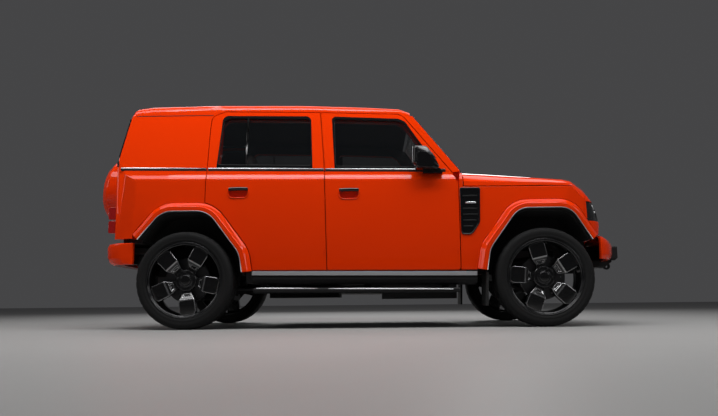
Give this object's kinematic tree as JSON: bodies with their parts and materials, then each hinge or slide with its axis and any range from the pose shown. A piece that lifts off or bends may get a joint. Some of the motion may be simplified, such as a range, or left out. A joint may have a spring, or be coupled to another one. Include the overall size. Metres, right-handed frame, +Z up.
{
  "type": "off-road passenger vehicle",
  "caption": "Boxy orange off-road wagon with side-hinged doors and tailgate, opening bonnet, steered front wheels and a covered spare wheel.",
  "frame": {"origin": "on the ground below the middle of the overall box", "axes": "+X forward, +Y to the vehicle's left, +Z up"},
  "size_m": [4.86, 2.1, 2.016],
  "materials": {
    "paint": "gloss",
    "glass": "gloss",
    "lamp_lens": "gloss",
    "tail_lens": "gloss",
    "gloss_black": "gloss",
    "black_plastic": "matte",
    "bright_trim": "satin",
    "chassis": "matte",
    "cast_metal": "matte",
    "steel": "satin",
    "upholstery": "matte",
    "rim": "gloss",
    "tyre": "matte"
  },
  "bodies": {
    "body": {"body_sides": "paint", "roof": "paint", "windscreen": "glass", "wings": "paint", "side_vents": "gloss_black", "flares": "paint", "nose": "paint", "headlamps": "lamp_lens", "grille": "gloss_black", "front_bumper": "paint", "front_skid": "black_plastic", "rear_bumper": "paint", "tail_lamps": "tail_lens", "sills": "black_plastic", "sill_trims": "bright_trim", "side_steps": "bright_trim", "mud_flaps": "black_plastic", "arch_liners": "black_plastic", "underbody": "chassis", "scuttle": "black_plastic", "engine": "cast_metal", "driveline": "cast_metal", "exhaust": "steel", "fuel_tank": "black_plastic", "front_seats": "upholstery", "rear_bench": "upholstery", "dashboard": "black_plastic", "front_suspension": "chassis", "rear_suspension": "chassis"},
    "bonnet": {"bonnet": "paint"},
    "tailgate": {"tailgate": "paint", "tailgate_glass": "glass", "spare_cover": "paint"},
    "steering_wheel": {"steering_wheel": "black_plastic"},
    "front_door_left": {"door_front_left": "paint", "glass_front_left": "glass", "mirror_left": "gloss_black"},
    "rear_door_left": {"door_rear_left": "paint", "glass_rear_left": "glass"},
    "knuckle_left": {"knuckle_left": "chassis"},
    "wheel_front_left": {"rim_front_left": "rim", "tyre_front_left": "tyre", "disc_front_left": "steel"},
    "wheel_rear_left": {"rim_rear_left": "rim", "tyre_rear_left": "tyre", "disc_rear_left": "steel"},
    "front_door_right": {"door_front_right": "paint", "glass_front_right": "glass", "mirror_right": "gloss_black"},
    "rear_door_right": {"door_rear_right": "paint", "glass_rear_right": "glass"},
    "knuckle_right": {"knuckle_right": "chassis"},
    "wheel_front_right": {"rim_front_right": "rim", "tyre_front_right": "tyre", "disc_front_right": "steel"},
    "wheel_rear_right": {"rim_rear_right": "rim", "tyre_rear_right": "tyre", "disc_rear_right": "steel"}
  },
  "joints": [
    {"name": "front_door_left_hinge", "type": "hinge", "parent": "body", "child": "front_door_left", "pos_m": [0.912, 0.948, 0.86], "axis": [0, 0, -1], "range_deg": [0, 68]},
    {"name": "rear_door_left_hinge", "type": "hinge", "parent": "body", "child": "rear_door_left", "pos_m": [-0.2155, 0.948, 0.86], "axis": [0, 0, -1], "range_deg": [0, 72]},
    {"name": "steer_left", "type": "hinge", "parent": "body", "child": "knuckle_left", "pos_m": [1.631, 0.79, 0.412], "axis": [0, 0, 1], "range_deg": [-32, 32]},
    {"name": "wheel_front_left_spin", "type": "hinge", "parent": "knuckle_left", "child": "wheel_front_left", "pos_m": [1.631, 0.853, 0.412], "axis": [0, 1, 0], "continuous": true},
    {"name": "wheel_rear_left_spin", "type": "hinge", "parent": "body", "child": "wheel_rear_left", "pos_m": [-1.391, 0.853, 0.412], "axis": [0, 1, 0], "continuous": true},
    {"name": "front_door_right_hinge", "type": "hinge", "parent": "body", "child": "front_door_right", "pos_m": [0.912, -0.948, 0.86], "axis": [0, 0, 1], "range_deg": [0, 68]},
    {"name": "rear_door_right_hinge", "type": "hinge", "parent": "body", "child": "rear_door_right", "pos_m": [-0.2155, -0.948, 0.86], "axis": [0, 0, 1], "range_deg": [0, 72]},
    {"name": "steer_right", "type": "hinge", "parent": "body", "child": "knuckle_right", "pos_m": [1.631, -0.79, 0.412], "axis": [0, 0, 1], "range_deg": [-32, 32]},
    {"name": "wheel_front_right_spin", "type": "hinge", "parent": "knuckle_right", "child": "wheel_front_right", "pos_m": [1.631, -0.853, 0.412], "axis": [0, 1, 0], "continuous": true},
    {"name": "wheel_rear_right_spin", "type": "hinge", "parent": "body", "child": "wheel_rear_right", "pos_m": [-1.391, -0.853, 0.412], "axis": [0, 1, 0], "continuous": true},
    {"name": "bonnet_hinge", "type": "hinge", "parent": "body", "child": "bonnet", "pos_m": [1.004, 0.56, 1.314], "axis": [0, -1, 0], "range_deg": [0, 48]},
    {"name": "tailgate_hinge", "type": "hinge", "parent": "body", "child": "tailgate", "pos_m": [-2.037, -0.769, 1.055], "axis": [0, 0, 1], "range_deg": [0, 88]},
    {"name": "steering_wheel_turn", "type": "hinge", "parent": "body", "child": "steering_wheel", "pos_m": [0.621, 0.38, 1.072], "axis": [-0.9135, 0, 0.4067], "range_deg": [-450, 450]}
  ],
  "couplings": [
    {"joint": "steer_right", "follows": "steer_left", "ratio": 1},
    {"joint": "steering_wheel_turn", "follows": "steer_left", "ratio": 14}
  ]
}
